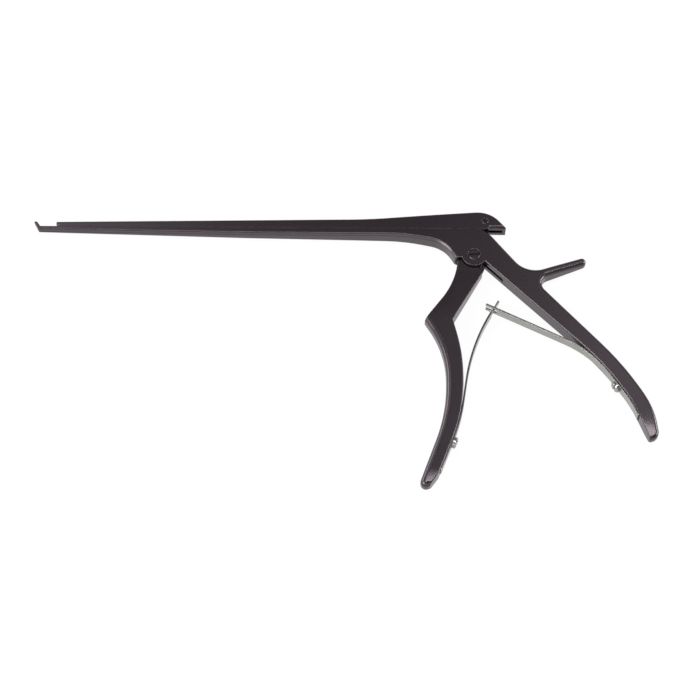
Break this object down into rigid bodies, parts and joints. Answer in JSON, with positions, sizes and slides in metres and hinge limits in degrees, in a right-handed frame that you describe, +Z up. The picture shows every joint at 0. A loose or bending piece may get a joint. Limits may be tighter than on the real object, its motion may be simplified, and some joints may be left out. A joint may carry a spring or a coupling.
{
  "type": "bone rongeur",
  "caption": "Punch-type bone rongeur: slim sliding shaft with a cupped nose closing on a foot plate, pistol handles with crossed leaf springs and a thumb spur.",
  "frame": {"origin": "on the pivot screw's axis, in the flat lower side that the instrument rests on", "axes": "+X along the shaft from the jaw towards the rear, +Y from the handles towards the shaft, +Z up through the thickness"},
  "size_m": [0.2866, 0.1394, 0.008],
  "materials": {
    "black_steel": "satin black hard coating on stainless steel",
    "black_screw": "satin black hard coating",
    "spring_steel": "fine satin",
    "screw_steel": "satin"
  },
  "bodies": {
    "frame": {"fixed_frame": "black_steel", "pivot_screw": "black_screw", "rear_leaf_spring": "spring_steel", "rear_spring_screw": "screw_steel"},
    "slider": {"upper_shaft_slider": "black_steel", "drive_screw": "black_screw"},
    "trigger": {"front_handle": "black_steel", "front_leaf_spring": "spring_steel", "front_spring_screw": "screw_steel"}
  },
  "joints": [
    {"name": "handle_hinge", "type": "hinge", "parent": "frame", "child": "trigger", "pos_m": [0, 0, 0.004], "axis": [0, 0, 1], "range_deg": [0, 24.8], "stiffness_Nm_per_rad": 2, "springref_deg": -11.46, "deforming": ["rear_leaf_spring", "front_leaf_spring"]},
    {"name": "shaft_slide", "type": "slide", "parent": "frame", "child": "slider", "axis": [-1, 0, 0], "range_m": [0, 0.0081]}
  ],
  "couplings": [
    {"joint": "shaft_slide", "follows": "handle_hinge", "m_per_rad": 0.01837}
  ]
}
